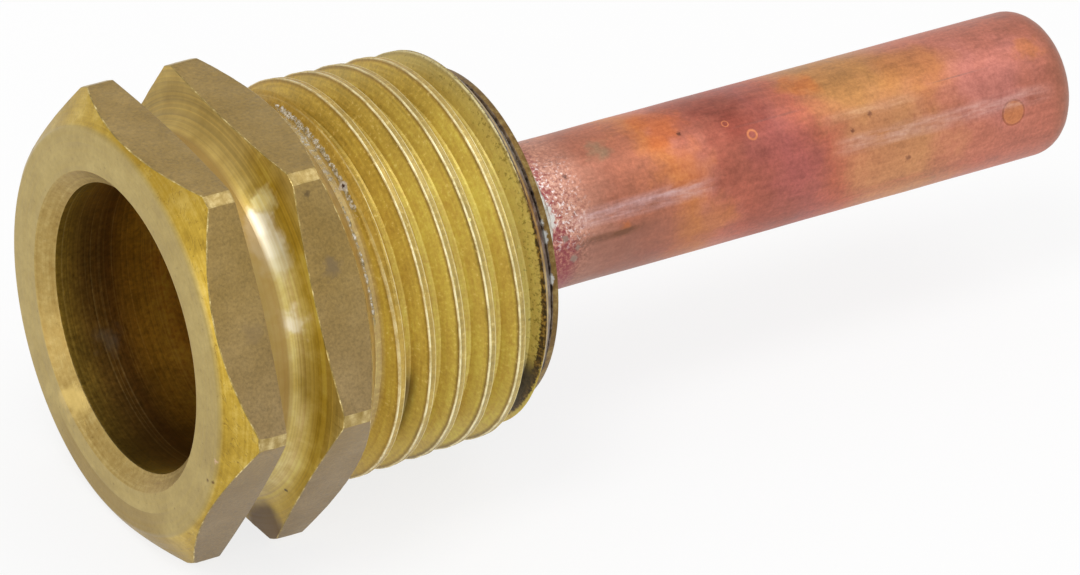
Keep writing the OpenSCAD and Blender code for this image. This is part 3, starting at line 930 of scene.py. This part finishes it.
wall = [(SEAT_X + (TIP_X - 2 - SEAT_X) * k / 60, TUBE_R, 0, 0, 0) for k in range(61)]
tube = as_object(turned([(x, r, 0) for x, r, _ in rounded([
    (SEAT_X, TUBE_IN_R, 0, 0, 0),
    *wall,
    (TIP_X, TUBE_R, TIP_EDGE, 10, 0),
    (TIP_X, 0, 0, 0, 0),
    (TIP_X - TIP_WALL, 0, 0, 0, 0),
    (TIP_X - TIP_WALL, TUBE_IN_R, TIP_IN_EDGE, 6, 0),
    (SEAT_X, TUBE_IN_R, 0, 0, 0),
])], TUBE_COLUMNS, dented), "copper_tube", [heat_tinted_copper()])
shade(tube, 30)


def lumpy(x, r, angle):
    """Braze as it froze: it creeps unevenly along the tube and over the disc."""
    place_at = Vector((0, math.sin(angle), math.cos(angle)))
    creep = 0.12 * noise.noise(place_at * 4) + 0.06 * noise.noise(place_at * 14)
    along = max(0, min(1, (x - DISC_X[1] - 0.6) / 2))
    over = max(0, min(1, (r - TUBE_R - 0.2) / 2))
    return x + creep * along, r + creep * over, angle


ring_section = [
    (THREAD_X, SPIGOT_R, 0), (THREAD_X, BRAZE_R, 0), (DISC_X[0], BRAZE_R, 0), (DISC_X[0], SPIGOT_R, 0),
    (THREAD_X, SPIGOT_R, 0),
]
ring = as_object(
    turned(ring_section, DISC_COLUMNS), "braze_ring", [silver_braze("silver_braze_under_disc")],
)
hollow = [
    (DISC_X[1] + 2.5 - 2.5 * math.cos(a), TUBE_R + 2.6 - 2.45 * math.sin(a), 0)
    for a in [math.radians(9 * k) for k in range(1, 10)]
]
fillet_section = [
    (DISC_X[1], TUBE_R, 0), (DISC_X[1], 6.6, 0), *hollow, (14.8, 4.2, 0), (14.92, 4.14, 0), (15.0, 4.07, 0),
    (15.02, TUBE_R - 0.05, 0), (DISC_X[1], TUBE_R - 0.05, 0), (DISC_X[1], TUBE_R, 0),
]
fillet = as_object(
    turned(fillet_section, DISC_COLUMNS, lumpy), "braze_fillet", [silver_braze("silver_braze_on_tube")],
)
shade(fillet, 50)

for piece, node_name, slot in (
    (spud, "hex_spud", "spud_brass"),
    (disc, "end_disc", "disc_brass"),
    (tube, "well_tube", "tube_copper"),
    (ring, "disc_braze", "disc_braze"),
    (fillet, "tube_braze", "tube_braze"),
):
    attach(piece, "root")
    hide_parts(node_name)

# ---------------------------------------------------------------- studio

bm = bmesh.new()
bmesh.ops.create_grid(bm, x_segments=1, y_segments=1, size=3)
bmesh.ops.transform(bm, verts=bm.verts, matrix=Matrix.Translation((0, 0, -FLAT_R * MM - 0.0001)))
paper = Finish("white_paper", 0.0)
rays = paper.add("LightPath").node.outputs
seen = paper.add("Math", rays["Is Camera Ray"], rays["Is Glossy Ray"], operation="MAXIMUM")
seen = paper.add("Math", seen, rays["Is Transmission Ray"], operation="MAXIMUM")
pale = paper.add("BsdfDiffuse", colour("#ececec"))
glow = paper.add("Emission", (1, 1, 1, 1), 1.0)
both = paper.add("MixShader", paper.add("Math", seen, 0.8, operation="MULTIPLY"), pale, glow)
paper.tree.links.new(both, paper.tree.nodes["Material Output"].inputs[0])
floor = as_object(bm, "floor", [paper.material])

world = bpy.data.worlds.new("studio")
bpy.context.scene.world = world
world.use_nodes = True
background = world.node_tree.nodes["Background"]
background.inputs["Color"].default_value = (1, 1, 1, 1)
background.inputs["Strength"].default_value = 0.82


def softbox(name, towards, away, size, power):
    """A soft lamp, that far from the part's middle in the direction given, facing it."""
    lamp = bpy.data.lights.new(name, "AREA")
    lamp.shape, lamp.size, lamp.size_y, lamp.energy = "RECTANGLE", size[0], size[1], power
    holder = bpy.data.objects.new(name, lamp)
    holder.location = Vector(towards).normalized() * away + Vector((0.01, 0, 0))
    holder.rotation_mode = "QUATERNION"
    holder.rotation_quaternion = (-Vector(towards)).to_track_quat("-Z", "Y")
    bpy.context.scene.collection.objects.link(holder)


softbox("softbox_high", (-0.42, -0.15, 0.89), 0.6, (0.2, 0.26), 1.0)
softbox("softbox_left", (-0.95, -0.25, 0.1), 0.6, (0.3, 0.3), 0.5)
softbox("softbox_right", (0.48, -0.15, 0.86), 0.6, (0.3, 0.3), 0.35)
softbox("softbox_front", (-0.6, -0.79, 0.14), 0.6, (0.07, 0.07), 0.1)

FOCAL_WIDTHS = 7760.86 / 1080  # focal length in widths of the frame
camera_data = bpy.data.cameras.new("camera")
camera_data.sensor_width = 36
camera_data.lens = FOCAL_WIDTHS * camera_data.sensor_width
camera_data.clip_start, camera_data.clip_end = 0.01, 10
camera = bpy.data.objects.new("camera", camera_data)
right = Vector((0.8493, -0.5249, 0.0575)).normalized()
forward = Vector((0.4710, 0.7038, -0.5318)).normalized()
up = right.cross(forward).normalized()
camera.matrix_world = Matrix((
    (right.x, up.x, -forward.x, -0.17553),
    (right.y, up.y, -forward.y, -0.28768),
    (right.z, up.z, -forward.z, 0.21279),
    (0, 0, 0, 1),
))
bpy.context.scene.collection.objects.link(camera)
bpy.context.scene.camera = camera
bpy.context.scene.view_settings.view_transform = "Standard"
